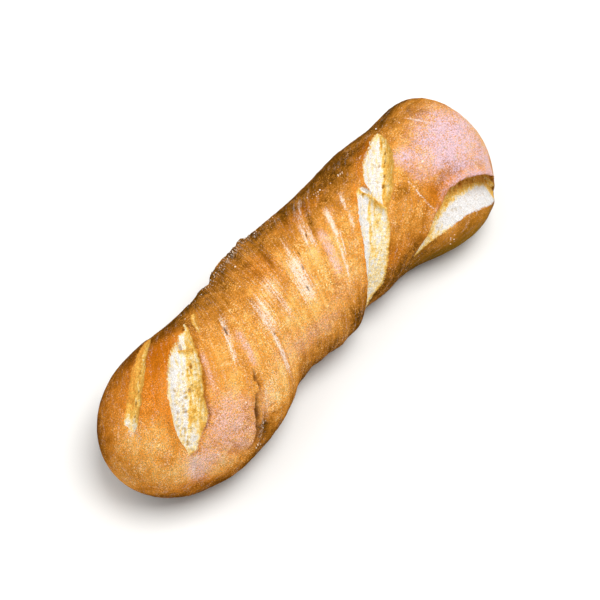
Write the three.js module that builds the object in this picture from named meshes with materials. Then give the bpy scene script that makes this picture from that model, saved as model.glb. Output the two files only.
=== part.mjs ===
// A twisted rustic loaf: a roll of dough turned about its length, torn open along the turns as it baked.
// Millimetres, +Z up. It lies along X on its flattened base, with the origin under the middle of its outline.
// A place on it is a station x and an angle in degrees, counted from +Y over the top towards -Y.
import * as THREE from "three";

// Driving dimensions: the loaf's overall form
const LENGTH = 330;
const WAIST_RADIUS = 42.8;
const HEIGHT_TO_WIDTH = 0.87;
const AXIS_HEIGHT = 32;
const LEFT_BULB = { station: -97, reach: 53, swell: 6.4 };
const RIGHT_BULB = { station: 113, reach: 47, swell: 8 };
const LEFT_END = { depth: 58, bluntness: 1.95 };
const RIGHT_END = { depth: 31, bluntness: 2.65 };
const END_EASING = 2.5;
const BOW = { offset: 4.5, reach: 65 };

// The turn of the dough: tightest a little left of the middle, slack towards the ends
const TWIST = { centre: -28, spread: 32.4, turn: 171, perMillimetre: 0.52 };

// The base, pressed flat by the oven floor
const BASE_ROUNDING = 6;
const BASE_SETTLING = 1.2;

// Facets: rings from tip to tip, slanted over the top to run with the turns, and columns round the loaf,
// closer together over the top than under the base
const RINGS = 90;
const COLUMNS = 63;
const TOP_CROWDING = 0.3;
const RING_END_RADIUS = 45;
const RING_SLANT = 38;
const SLANT_FADE = 3;

// Broad swells and hollows of the dough between its turns
const SWELLS = [
  { station: -90, angle: 185, length: 40, girth: 40, height: 1.5 },
  { station: -34, angle: 180, length: 15, girth: 36, height: -3.5 },
  { station: 5, angle: 185, length: 30, girth: 36, height: 4.5 },
  { station: 25, angle: 180, length: 10, girth: 36, height: -4 },
  { station: 70, angle: 178, length: 16, girth: 36, height: -4 },
  { station: 112, angle: 185, length: 24, girth: 40, height: 5 },
  { station: -60, angle: 30, length: 36, girth: 36, height: -4.5 },
  { station: -15, angle: 28, length: 25, girth: 36, height: 4.5 },
  { station: 122, angle: 28, length: 28, girth: 40, height: -7 },
  { station: 132, angle: 188, length: 18, girth: 28, height: 2.4 },
  { station: 149, angle: 78, length: 20, girth: 44, height: 2.6 },
  { station: 151, angle: 164, length: 12, girth: 32, height: -2.6 },
  { station: -130, angle: 176, length: 13, girth: 30, height: -2 },
];

// Creases where one turn of the dough meets the next: sharp at the bottom, deepest on the loaf's flanks
const CREASES = [
  { from: [-8, 225], to: [-100, 545], depth: 2.6, width: 5, bow: 0 },
  { from: [70, 178], to: [-60, 592], depth: 2.6, width: 5, bow: 0 },
  { from: [40, 150], to: [5, 225], depth: 2.6, width: 5, bow: 0 },
  { from: [-74, 126], to: [-98, 184], depth: 3, width: 3.5, bow: -12 },
];
const CREASE_FADE = 12;
const CREASE_ON_TOP = 0.12;

// Ridges the turning drew up in the skin of the middle
const RIDGES = { count: 5, height: 0.8, phase: 40, station: -8, reach: 62 };

// Tears where the crust split open and bares the crumb: each follows the twist between two places.
// before and after are its half widths on either side of its line, each widest at a share (peak) of the run,
// and its deepest line lies at valley, from -1 at one edge to 1 at the other.
const TEARS = [
  // the shallow strip on the left bulb's shoulder
  {
    from: [-92, 30], to: [-146, 81], bow: 0, taper: 0.2, depth: 2.2, valley: 0.2, lip: 0.6,
    before: { width: 4.3, peak: 0.95 }, after: { width: 5.2, peak: 0.95 },
  },
  // the wide tear over the left bulb
  {
    from: [-75.5, 56], to: [-134, 135.5], bow: -12, taper: 1.64, depth: 6.5, valley: 0, lip: 1.6,
    before: { width: 11.9, peak: 0.84 }, after: { width: 10.9, peak: 0.5 },
  },
  // the two tears one behind the other on the right half
  {
    from: [108, 59], to: [62.5, 114], bow: 0, taper: 1.3, depth: 6.5, valley: 0.05, lip: 1.6,
    before: { width: 11.3, peak: 0.78 }, after: { width: 8.6, peak: 0.3 },
  },
  {
    from: [67, 95], to: [19, 188], bow: 0, taper: 0.7, depth: 5.5, valley: -0.05, lip: 1.4,
    before: { width: 11.4, peak: 0.42 }, after: { width: 10.4, peak: 0.3 },
  },
  // the long tear under the right bulb's lip
  {
    from: [66, 175.5], to: [147, 181.5], bow: -25, taper: 1.05, depth: 9, valley: -0.35, lip: 1.8,
    before: { width: 13.4, peak: 0.81 }, after: { width: 8.6, peak: 0.87 },
  },
];
const LIP_REACH = 9;
const LIP_ROLL = 4;

// How soon the relief reaches its full height in from a tip
const RELIEF_AT_TIPS = 1.6;

const CRUST = { color: 0xd9954c, roughness: 0.75, metalness: 0 };

const radians = THREE.MathUtils.degToRad;
const halfTurn = (angle) => THREE.MathUtils.euclideanModulo(angle + 180, 360) - 180;
const bell = (distance, reach) => Math.exp(-((distance / reach) ** 2));

// How far the dough is turned at a station, in degrees, and how fast that changes, in radians per millimetre
function turnAt(x) {
  const { centre, spread, turn, perMillimetre } = TWIST;
  return turn * Math.atan((x - centre) / spread) + perMillimetre * x;
}

function turnRate(x) {
  const { centre, spread, turn, perMillimetre } = TWIST;
  return radians(turn / spread / (1 + ((x - centre) / spread) ** 2) + perMillimetre);
}

// Share of the full section at a station: 1 along the body, rounding to 0 at each tip
function endShare(x) {
  const end = x < 0 ? LEFT_END : RIGHT_END;
  const intoEnd = Math.max(0, (Math.abs(x) - LENGTH / 2 + end.depth) / end.depth);
  return Math.max(0, 1 - intoEnd ** END_EASING) ** (1 / end.bluntness);
}

function halfWidth(x) {
  const bulbs = [LEFT_BULB, RIGHT_BULB].map((b) => b.swell * bell(x - b.station, b.reach));
  return (WAIST_RADIUS + bulbs[0] + bulbs[1]) * endShare(x);
}

// Sideways offset of the loaf's middle line: the middle turns lie a little proud of the two ends
function spineOffset(x) {
  return BOW.offset * Math.exp(-((x / BOW.reach) ** 4));
}

// Where a place lies on a line that follows the twist: its share along the line and its distance across it
function placeOnLine(line, x, angle) {
  const [startX, startAngle] = line.from;
  const [endX, endAngle] = line.to;
  const share = (x - startX) / (endX - startX);
  const inside = THREE.MathUtils.clamp(share, 0, 1);
  const startTurn = startAngle + turnAt(startX);
  const endTurn = endAngle + turnAt(endX);
  const bend = line.bow * 4 * inside * (1 - inside);
  const lineTurn = THREE.MathUtils.lerp(startTurn, endTurn, inside) + bend;
  const gradient = Math.hypot(turnRate(x), 1 / WAIST_RADIUS);
  const across = radians(halfTurn(angle + turnAt(x) - lineTurn)) / gradient;
  return { share, inside, across };
}

function swellHeight(x, angle) {
  return SWELLS.reduce(
    (sum, s) => sum + s.height * bell(x - s.station, s.length) * bell(halfTurn(angle - s.angle), s.girth),
    0,
  );
}

function creaseHeight(crease, x, angle) {
  const { across } = placeOnLine(crease, x, angle);
  const [low, high] = [crease.from[0], crease.to[0]].sort((a, b) => a - b);
  const fade =
    THREE.MathUtils.smoothstep(x, low - CREASE_FADE, low + CREASE_FADE) *
    (1 - THREE.MathUtils.smoothstep(x, high - CREASE_FADE, high + CREASE_FADE));
  const onFlank = CREASE_ON_TOP + (1 - CREASE_ON_TOP) * Math.cos(radians(angle)) ** 2;
  return -crease.depth * fade * onFlank * Math.exp(-Math.abs(across) / crease.width);
}

function ridgeHeight(x, angle) {
  const { count, height, phase, station, reach } = RIDGES;
  return height * bell(x - station, reach) * Math.cos(radians(count * (angle + turnAt(x)) + phase));
}

// Opening of a tear along its run: 0 at both ends, 1 at its peak
function opening(share, peak, taper) {
  return (share / peak) ** (taper * peak) * ((1 - share) / (1 - peak)) ** (taper * (1 - peak));
}

function tearHeight(tear, x, angle) {
  const { share, inside, across } = placeOnLine(tear, x, angle);
  if (share <= 0 || share >= 1) return 0;
  const side = across < 0 ? tear.before : tear.after;
  const edge = side.width * opening(inside, side.peak, tear.taper);
  const open = Math.min(1, opening(inside, (tear.before.peak + tear.after.peak) / 2, tear.taper));
  const outside = Math.abs(across) - edge;
  if (outside > 0) return tear.lip * open * bell(outside, LIP_REACH);
  const place = across / edge;
  const wall = place > tear.valley ? 1 - tear.valley : 1 + tear.valley;
  const rise = THREE.MathUtils.smoothstep(Math.abs(place - tear.valley) / wall, 0, 1);
  return tear.lip * open * bell(outside, LIP_ROLL) - tear.depth * open ** 2 * (1 - rise);
}

// Where tears meet, the deepest one shows; on the crust round them, the highest lip
function tearsHeight(x, angle) {
  const heights = TEARS.map((tear) => tearHeight(tear, x, angle));
  const deepest = Math.min(...heights);
  return deepest < 0 ? deepest : Math.max(...heights);
}

// Height of all relief above the smooth loaf, closing with the section at the tips
function reliefAt(x, angle) {
  const creases = CREASES.reduce((sum, c) => sum + creaseHeight(c, x, angle), 0);
  const relief = swellHeight(x, angle) + ridgeHeight(x, angle) + creases + tearsHeight(x, angle);
  return relief * Math.min(1, RELIEF_AT_TIPS * endShare(x));
}

// Presses whatever hangs near the oven floor flat against it
function settle(z) {
  const rounded = z < BASE_ROUNDING ? BASE_ROUNDING * Math.exp(z / BASE_ROUNDING - 1) : z;
  return Math.max(0, rounded - BASE_SETTLING);
}

function crustPoint(x, angle) {
  const radius = halfWidth(x);
  const relief = reliefAt(x, angle);
  const y = spineOffset(x) + (radius + relief) * Math.cos(radians(angle));
  const z = AXIS_HEIGHT + (HEIGHT_TO_WIDTH * radius + relief) * Math.sin(radians(angle));
  return new THREE.Vector3(x, y, settle(z));
}

// Station of a ring at a share of the way from the left tip to the right one, evenly spaced over the crust
function ringStation(share) {
  const endArc = (Math.PI / 2) * RING_END_RADIUS;
  const body = LENGTH - 2 * RING_END_RADIUS;
  const fromNearTip = Math.min(share, 1 - share) * (2 * endArc + body);
  const inset =
    fromNearTip < endArc
      ? RING_END_RADIUS * (1 - Math.cos(fromNearTip / RING_END_RADIUS))
      : RING_END_RADIUS + fromNearTip - endArc;
  return share < 0.5 ? inset - LENGTH / 2 : LENGTH / 2 - inset;
}

// Station where a slanted ring meets a column: the slant dies out at the tips
function slantedStation(station, angle) {
  const towardsTip = Math.abs(station) / (LENGTH / 2);
  return station + RING_SLANT * Math.cos(radians(angle)) * (1 - towardsTip ** SLANT_FADE);
}

// Angle of a column at a share of the way round, starting under the base
function columnAngle(share) {
  const crowding = (TOP_CROWDING * Math.sin(2 * Math.PI * share)) / (2 * Math.PI);
  return -90 + 360 * (share + crowding);
}

// The crust: a sphere's rings and columns laid out along the loaf
function loafGeometry() {
  const geometry = new THREE.SphereGeometry(1, COLUMNS, RINGS);
  const { position, uv } = geometry.attributes;
  for (let i = 0; i < position.count; i++) {
    const angle = columnAngle(uv.getX(i));
    const point = crustPoint(slantedStation(ringStation(1 - uv.getY(i)), angle), angle);
    position.setXYZ(i, point.x, point.y, point.z);
  }
  // the rings run the other way than the sphere's, so each face is turned round
  geometry.index.array.reverse();
  geometry.computeBoundingBox();
  geometry.translate(0, -geometry.boundingBox.getCenter(new THREE.Vector3()).y, 0);
  geometry.computeVertexNormals();
  return geometry;
}

const loaf = new THREE.Mesh(loafGeometry(), new THREE.MeshStandardMaterial(CRUST));
loaf.name = "loaf";

const part = new THREE.Group();
part.add(loaf);

export default part;
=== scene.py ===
"""A twisted rustic loaf: its browned, torn and floury crust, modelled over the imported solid.

A place on the loaf is a station along it, in millimetres from its middle, and an angle round it, in
degrees from the far side (+Y) over the top to the near side (-Y). The form is worked out in millimetres
and placed in metres.
"""

import logging
import math
from dataclasses import dataclass, field
from enum import Enum

import bmesh
import bpy
import numpy as np
from mathutils import Euler, Matrix, Vector, noise


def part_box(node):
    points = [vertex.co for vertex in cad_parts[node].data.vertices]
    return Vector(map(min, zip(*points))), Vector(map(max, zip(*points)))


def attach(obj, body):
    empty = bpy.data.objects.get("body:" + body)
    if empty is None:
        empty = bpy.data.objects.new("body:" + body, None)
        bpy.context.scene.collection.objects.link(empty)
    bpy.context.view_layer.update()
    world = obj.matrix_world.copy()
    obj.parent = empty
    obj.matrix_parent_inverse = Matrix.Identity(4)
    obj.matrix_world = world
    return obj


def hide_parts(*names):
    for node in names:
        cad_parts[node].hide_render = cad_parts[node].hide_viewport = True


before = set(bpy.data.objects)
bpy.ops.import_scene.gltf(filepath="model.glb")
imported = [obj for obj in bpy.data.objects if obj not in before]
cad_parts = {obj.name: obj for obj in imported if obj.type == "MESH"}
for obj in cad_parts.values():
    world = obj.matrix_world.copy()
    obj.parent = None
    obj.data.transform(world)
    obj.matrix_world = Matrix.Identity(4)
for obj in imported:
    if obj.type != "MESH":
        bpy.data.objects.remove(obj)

log = logging.getLogger("loaf")
Array = np.ndarray
Pair = tuple[float, float]
Colour = tuple[float, float, float, float]
Socket = bpy.types.NodeSocket

MM = 0.001
TOP = 90.0

# The sockets of a mix node that are for colours, which share their names with others.
MIX_SHARE, MIX_BELOW, MIX_ABOVE, MIX_RESULT = 0, 6, 7, 2


class Mark(Enum):
    """The measures that the loaf's mesh carries at each point for its finish."""

    EDGE = "edge"
    # The crumb's colour, partly painted light and shade on walls that face towards or away from the light.
    CRUMB = "crumb"
    # Browning, with painted shade on the flanks and near the floor and spots of painted light and shade.
    TOAST_AND_SHADING = "toast_and_shading"
    FLOUR = "flour"
    # How far the flour takes the lilac of painted cool light.
    COOL_LIGHT = "cool_light"
    STREAK = "streak"
    # Painted shade in slits and pits, under the laps of folds and under a rolled lip.
    SLIT_SHADE = "slit"
    # Orange beside tears' lips, partly browner crust and partly painted shade; below 0, the olive of painted
    # shade on the underside bulge.
    RIM_AND_SHADE = "rim"
    # Painted shade in the crumb's larger pores.
    PORE_SHADE = "pore_shade"
    SMOOTH = "smooth"
    DOUGH = "dough"


class Tint(Enum):
    """What a streak in the skin looks like: bare cream dough, trapped flour, or darker crust, which beside
    the lower fold is painted shade.
    """

    CREAM = "cream"
    FLOUR = "flour"
    BAKED = "baked_and_shade"


def bell(distance: Array, reach: float) -> Array:
    """Gives a smooth bump of 1 at no distance that has mostly died out at twice its reach."""
    return np.exp(-((distance / reach) ** 2))


def half_turn(angle: Array) -> Array:
    """Brings angles in degrees into the half turn on either side of nought."""
    return (angle + 180.0) % 360.0 - 180.0


def ease(low: float, high: float, value: Array) -> Array:
    """Goes smoothly from 0 at low to 1 at high."""
    share = np.clip((value - low) / (high - low), 0.0, 1.0)
    return share * share * (3.0 - 2.0 * share)


def srgb(code: str) -> Colour:
    """Turns a screen colour into the linear values that shaders take.

    Args:
        code: Six hexadecimal digits.

    Returns:
        Red, green, blue and a full alpha.
    """
    shares = [int(code[i : i + 2], 16) / 255.0 for i in (0, 2, 4)]
    red, green, blue = (c / 12.92 if c <= 0.04045 else ((c + 0.055) / 1.055) ** 2.4 for c in shares)
    return (red, green, blue, 1.0)


def make_piece(name: str, shape: bmesh.types.BMesh, material: bpy.types.Material) -> bpy.types.Object:
    """Turns a finished shape into an object of the scene.

    Args:
        name: The name of the object and its mesh.
        shape: The shape, which is freed.
        material: The object's only material.

    Returns:
        The object, at the origin and unturned.
    """
    mesh = bpy.data.meshes.new(name)
    shape.to_mesh(mesh)
    shape.free()
    mesh.materials.append(material)
    piece = bpy.data.objects.new(name, mesh)
    bpy.context.collection.objects.link(piece)
    return piece


@dataclass(frozen=True)
class Slope:
    """An amount that comes in smoothly between two values of a measure."""

    low: float
    high: float
    amount: float = 1.0

    def at(self, value: Array) -> Array:
        """Gives how much of the amount has come in at each value."""
        return self.amount * ease(self.low, self.high, value)


@dataclass(frozen=True)
class Unevenness:
    """Fractal noise, the same in each run, with its height and its largest features' size in millimetres."""

    height: float
    size: float
    octaves: int = 3
    offset: float = 0.0
    fall: float = 0.9
    step: float = 2.0

    def over(self, points: Array) -> Array:
        """Gives the noise at each point, about as far below 0 as above it."""
        cells = (points / self.size + self.offset).tolist()
        return self.height * np.array([noise.fractal(c, self.fall, self.step, self.octaves) for c in cells])


@dataclass(frozen=True)
class Twist:
    """How far the dough is turned about its length: tightest near the middle, slack at the ends."""

    centre: float = -28.0
    spread: float = 32.4
    turn: float = 171.0
    per_mm: float = 0.52

    def at(self, station: Array) -> Array:
        """Gives the turn at each station, in degrees."""
        return self.turn * np.arctan((station - self.centre) / self.spread) + self.per_mm * station

    def rate(self, station: Array) -> Array:
        """Gives how fast the turn changes at each station, in radians per millimetre."""
        slack = 1.0 + ((station - self.centre) / self.spread) ** 2
        return np.radians(self.turn / self.spread / slack + self.per_mm)


@dataclass(frozen=True)
class LoafForm:
    """The loaf's overall form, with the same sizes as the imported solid.

    A bulb is its station, its reach and its swell, and an end is its depth and its bluntness.
    """

    length: float = 330.0
    waist: float = 42.8
    height_to_width: float = 0.87
    axis_height: float = 32.0
    left_bulb: tuple[float, float, float] = (-97.0, 53.0, 6.4)
    right_bulb: tuple[float, float, float] = (113.0, 47.0, 8.0)
    left_end: Pair = (58.0, 1.95)
    right_end: Pair = (31.0, 2.65)
    end_easing: float = 2.5
    bow: float = 4.5
    bow_reach: float = 65.0
    bow_flatness: int = 4
    base_rounding: float = 6.0
    base_settling: float = 1.2
    relief_at_tips: float = 1.6
    twist: Twist = Twist()

    def end_share(self, station: Array) -> Array:
        """Gives the share of the full section that is left towards the ends.

        Args:
            station: The stations to work out.

        Returns:
            1 along the body and 0 at the tips.
        """
        shares = []
        for depth, bluntness in (self.left_end, self.right_end):
            into_end = np.clip((np.abs(station) - self.length / 2.0 + depth) / depth, 0.0, 1.0)
            shares.append((1.0 - into_end**self.end_easing) ** (1.0 / bluntness))
        return np.where(station < 0.0, shares[0], shares[1])

    def half_width(self, station: Array) -> Array:
        """Gives the smooth loaf's half width at each station."""
        bulbs = (swell * bell(station - at, reach) for at, reach, swell in (self.left_bulb, self.right_bulb))
        return (self.waist + sum(bulbs)) * self.end_share(station)

    def settle(self, height: Array) -> Array:
        """Presses whatever hangs near the oven floor flat against it.

        Args:
            height: The heights before the dough settles.

        Returns:
            The settled heights, none below the floor.
        """
        soft = self.base_rounding * np.exp(np.minimum(height / self.base_rounding, 1.0) - 1.0)
        rounded = np.where(height < self.base_rounding, soft, height)
        return np.maximum(rounded - self.base_settling, 0.0)


@dataclass(frozen=True)
class Places:
    """Places on a loaf of a form, each with its station and its angle."""

    form: LoafForm
    station: Array
    angle: Array

    def ways_from(self, place: Pair) -> tuple[Array, Array]:
        """Gives the ways to all places from one, along the loaf and round its skin, in millimetres."""
        arc = math.radians(self.form.waist)
        return self.station - place[0], arc * half_turn(self.angle - place[1])

    def points(self, relief: Array | float = 0.0, lap: Array | float = 0.0) -> Array:
        """Gives the points of the crust.

        Args:
            relief: How far the crust stands out from the smooth loaf at each place, in millimetres.
            lap: How far it laps over towards the near side, in degrees.

        Returns:
            One row of three coordinates for each place, in millimetres.
        """
        form = self.form
        radius = form.half_width(self.station)
        shown = relief * np.minimum(1.0, form.relief_at_tips * form.end_share(self.station))
        turned = np.radians(self.angle + lap)
        offset = form.bow * np.exp(-((self.station / form.bow_reach) ** form.bow_flatness))
        across = offset + (radius + shown) * np.cos(turned)
        height = form.axis_height + (form.height_to_width * radius + shown) * np.sin(turned)
        return np.stack([self.station, across, form.settle(height)], axis=1)


@dataclass(frozen=True)
class Spot:
    """A soft-edged patch on the loaf, such as a swell of the dough or a patch of browning."""

    station: float
    angle: float
    length: float
    girth: float
    amount: float

    def over(self, at: Places) -> Array:
        """Gives the patch's amount at each place."""
        along = bell(at.station - self.station, self.length)
        return self.amount * along * bell(half_turn(at.angle - self.angle), self.girth)


def spots(*rows: tuple[float, ...]) -> tuple[Spot, ...]:
    """Makes patches from rows of station, angle, length, girth and amount."""
    return tuple(Spot(*row) for row in rows)


def patches(several: tuple[Spot, ...], at: Places) -> Array:
    """Adds up several patches at each place."""
    return sum((spot.over(at) for spot in several), np.zeros_like(at.station))


@dataclass(frozen=True)
class TwistLine:
    """A long line on the loaf that follows the twist between two places."""

    start: Pair
    end: Pair
    bow: float = 0.0

    def measure(self, at: Places) -> tuple[Array, Array]:
        """Measures places against the line.

        Args:
            at: The places.

        Returns:
            The share of the line's run at each place, and the distance across the line in millimetres.
        """
        twist = at.form.twist
        share = (at.station - self.start[0]) / (self.end[0] - self.start[0])
        inside = np.clip(share, 0.0, 1.0)
        first, last = (angle + twist.at(np.float64(station)) for station, angle in (self.start, self.end))
        # The bow is a parabola with its full height halfway along.
        line_turn = first + (last - first) * inside + self.bow * 4.0 * inside * (1.0 - inside)
        gradient = np.hypot(twist.rate(at.station), 1.0 / at.form.waist)
        return share, np.radians(half_turn(at.angle + twist.at(at.station) - line_turn)) / gradient


@dataclass(frozen=True)
class Crease(TwistLine):
    """A valley where one turn of the dough meets the next: sharp below, deepest on the flanks."""

    depth: float = 2.6
    width: float = 5.0
    fade: float = 12.0
    on_top: float = 0.12

    def height(self, at: Places) -> Array:
        """Gives the crease's relief.

        Args:
            at: The places to work out.

        Returns:
            The relief at each place, in millimetres.
        """
        _, across = self.measure(at)
        low, high = sorted((self.start[0], self.end[0]))
        begun = ease(low - self.fade, low + self.fade, at.station)
        within = begun * ease(high + self.fade, high - self.fade, at.station)
        on_flank = self.on_top + (1.0 - self.on_top) * np.cos(np.radians(at.angle)) ** 2
        return -self.depth * within * on_flank * np.exp(-np.abs(across) / self.width)


@dataclass
class TornSkin:
    """What tears make of the skin at each place.

    Outside is the distance from the nearest edge in millimetres, below 0 within a tear. Crumb is the
    crumb's colour, from 0 for white to 1 for gold, partly painted light and shade on the walls; coarse is
    how rough it is, porous how many pores it has and dark how deep the painted shade under a rolled lip is.
    Three more colour the crust beside it: the rim's orange, partly browner crust and partly painted shade;
    a darker band by some edges, with painted shade in the groove behind a rolled lip; and flour, which on
    a rolled lip also paints its highlight. Relief is in millimetres, and lap is how far a lip laps over, in
    degrees.
    """

    outside: Array
    crumb: Array
    coarse: Array
    porous: Array
    dark: Array
    rim: Array
    baked_and_shade: Array
    flour: Array
    relief: Array
    lap: Array

    @classmethod
    def joined(cls, skins: list["TornSkin"]) -> "TornSkin":
        """Joins what several tears make of the skin.

        Args:
            skins: One for each tear.

        Returns:
            The measures of the nearest tear, or the strongest, at each place.
        """
        outside = np.array([skin.outside for skin in skins])
        nearest = outside.argmin(axis=0)[np.newaxis]
        inside = outside < 0.0
        reliefs = np.array([skin.relief for skin in skins])
        lowest = np.where(inside, reliefs, 0.0).min(axis=0)
        highest = np.where(inside, 0.0, reliefs).max(axis=0)
        shared = {"relief": np.where(lowest < 0.0, lowest, highest), "lap": sum(skin.lap for skin in skins)}
        for name in ("outside", "crumb", "coarse", "porous", "dark"):
            values = np.array([getattr(skin, name) for skin in skins])
            shared[name] = np.take_along_axis(values, nearest, axis=0)[0]
        for name in ("rim", "baked_and_shade", "flour"):
            shared[name] = np.maximum.reduce([getattr(skin, name) for skin in skins])
        return cls(**shared)


@dataclass(frozen=True)
class Tear(TwistLine):
    """A place where the crust split open and bares the crumb.

    The half widths before and after its line are each widest at a peak, a share of the run. Its deepest
    line lies at valley, from -1 at one edge to 1 at the other. The crumb's colour, from 0 for white to 1
    for gold, changes at turn from one wall to the other, and towards an end over a share of the run. The
    white of a wall that faces the light and the gold of one turned from it are partly painted light and
    shade, and the gold under a rolled lip and at the far end of the tear beneath it is painted shade. A
    pinch is its share of the run and how much it narrows the tear. A band beside the edge is given by its
    distance from it and its reach. A rolled lip carries flour that also paints its highlight, with painted
    shade in the groove behind it and in the crumb just under it.
    """

    before: Pair = (8.0, 0.5)
    after: Pair = (8.0, 0.5)
    taper: float = 1.0
    depth: float = 6.0
    valley: float = 0.0
    turn: float = 0.0
    lip_before: float = 1.8
    lip_after: float = 1.2
    overhang: float = 0.0
    crumb_before: float = 0.05
    crumb_after: float = 0.5
    start_crumb: Pair = (0.5, 0.0)
    end_crumb: Pair = (0.5, 0.0)
    seam: float = 0.2
    pinch: Pair = (0.2, 0.0)
    softness: float = 0.18
    wavy: float = 0.0
    coarse: float = 0.4
    ragged: float = 1.0
    rim: float = 1.0
    rim_reach: float = 5.0
    dark_edge: float = 0.0
    roll: float = 0.0
    lip_reach: float = 9.0
    lip_inside: float = 1.5
    crust_step: Slope = Slope(0.0, 1.0, 1.2)
    least_width: float = 0.01
    overhang_reach: float = 5.0
    pinch_run: float = 0.07
    wall_curve: float = 1.6
    closing: float = 1.3
    end_fade: float = 0.3
    edge_crumb: float = 0.35
    edge_crumb_reach: float = 0.6
    seam_width: float = 0.12
    fewest_pores: float = 0.5
    seam_pores: float = 0.6
    seam_pores_reach: float = 0.4
    dark_edge_band: Pair = (0.6, 1.6)
    roll_end: Slope = Slope(1.0, 0.82)
    roll_ridge: Pair = (1.3, 1.6)
    roll_groove: Pair = (5.2, 1.8)
    groove_depth: float = 0.55
    # A rolled lip: painted shade in the groove behind it and in the crumb under it, and flour on it that
    # also paints its highlight.
    groove_shade: float = 0.08
    roll_flour_and_highlight: float = 0.22
    roll_highlight_band: Pair = (1.4, 1.4)
    roll_shade: float = 0.45
    roll_shade_band: Pair = (-0.5, 0.6)

    def opening(self, share: Array, peak: float) -> Array:
        """Gives how far the tear is open along its run.

        Args:
            share: The shares of the run to work out.
            peak: The share of the run where the tear is widest.

        Returns:
            0 at both ends and 1 at the peak.
        """
        inside = np.clip(share, 0.0, 1.0)
        towards, onwards = self.taper * peak, self.taper * (1.0 - peak)
        return (inside / peak) ** towards * ((1.0 - inside) / (1.0 - peak)) ** onwards

    def half_width(self, share: Array, across: Array) -> Array:
        """Gives the tear's half width on the side of its line where each place lies.

        Args:
            share: The places' shares of the run.
            across: Their distances across the line.

        Returns:
            The half width at each place, in millimetres.
        """
        before, after = (width * self.opening(share, peak) for width, peak in (self.before, self.after))
        narrowed = 1.0 - self.pinch[1] * bell(share - self.pinch[0], self.pinch_run)
        return np.where(across < 0.0, before * narrowed, after)

    def colour(self, share: Array, place: Array, outside: Array, ragged: Array) -> Array:
        """Gives the crumb's colour, with painted light and shade on its walls.

        Args:
            share: The places' shares of the run.
            place: Where they lie between the edges, from -1 to 1.
            outside: Their distances from the edge.
            ragged: How far the edges wander at each place.

        Returns:
            The colour at each place, from 0 for white to 1 for gold.
        """
        wall = ease(-self.softness, self.softness, place - self.turn - self.wavy * ragged)
        crumb = self.crumb_before + (self.crumb_after - self.crumb_before) * wall
        for (shade, reach), from_end in ((self.start_crumb, share), (self.end_crumb, 1.0 - share)):
            if reach > 0.0:
                crumb = crumb + (shade - crumb) * ease(reach, self.end_fade * reach, from_end)
        crumb = crumb + self.edge_crumb * bell(outside, self.edge_crumb_reach)
        return crumb + self.seam * bell(place - self.turn, self.seam_width)

    def skin(self, at: Places, ragged: Array) -> TornSkin:
        """Works out what the tear makes of the skin.

        Args:
            at: The places to work out.
            ragged: How far the edges wander at each place, in millimetres.

        Returns:
            The tear's measures at each place.
        """
        share, across = self.measure(at)
        run = abs(self.end[0] - self.start[0])
        across = across + self.ragged * ragged
        share = share + self.ragged * ragged / run
        width = self.half_width(share, across)
        opened = np.minimum(1.0, self.opening(share, (self.before[1] + self.after[1]) / 2.0))
        past_ends = np.maximum(np.maximum(-share, share - 1.0), 0.0) * run
        from_edge = np.abs(across) - width
        outside = np.where(past_ends > 0.0, np.hypot(np.maximum(from_edge, 0.0), past_ends), from_edge)
        inside, beside, before = outside < 0.0, np.maximum(outside, 0.0), across < 0.0

        def band(where: Pair) -> Array:
            """Gives 1 in a band beside the edge and 0 away from it."""
            return bell(outside - where[0], where[1])

        place = np.clip(across / np.maximum(width, self.least_width), -1.0, 1.0)
        reach = np.where(place > self.valley, 1.0 - self.valley, 1.0 + self.valley)
        rise = (np.abs(place - self.valley) / reach) ** self.wall_curve
        recess = self.depth * opened**self.closing * (1.0 - rise)
        recess = recess + self.crust_step.at(-outside) * opened
        lip = np.where(before, self.lip_before, self.lip_after) * opened
        lip = lip * np.where(inside, bell(outside, self.lip_inside), bell(outside, self.lip_reach))
        rolled = self.roll * before * opened * self.roll_end.at(share)
        lip = lip + rolled * ~inside * (band(self.roll_ridge) - self.groove_depth * band(self.roll_groove))
        # A darker band beside the edge after the line.
        baked_and_shade = self.dark_edge * ~before * bell(beside - self.dark_edge_band[0], self.dark_edge_band[1]) * opened
        seam_pores = self.seam_pores * bell(place - self.turn, self.seam_pores_reach)
        lap = np.degrees(self.overhang / at.form.waist) * before * ~inside * opened
        return TornSkin(
            outside=outside,
            crumb=self.colour(share, place, outside, ragged),
            coarse=np.full_like(outside, self.coarse),
            porous=self.coarse * (self.fewest_pores + seam_pores),
            # Painted shade in the crumb just under a rolled lip.
            dark=self.roll_shade * rolled * inside * band(self.roll_shade_band),
            rim=self.rim * before * bell(beside, self.rim_reach) * opened,
            # A darker band by the edge, and painted shade in the groove behind a rolled lip.
            baked_and_shade=np.maximum(baked_and_shade, self.groove_shade * rolled * ~inside * band(self.roll_groove)),
            # Flour on a rolled lip, which also paints its highlight.
            flour=self.roll_flour_and_highlight * rolled * ~inside * band(self.roll_highlight_band),
            relief=np.where(inside, lip - recess, lip),
            lap=lap * bell(beside, self.overhang_reach),
        )


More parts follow.
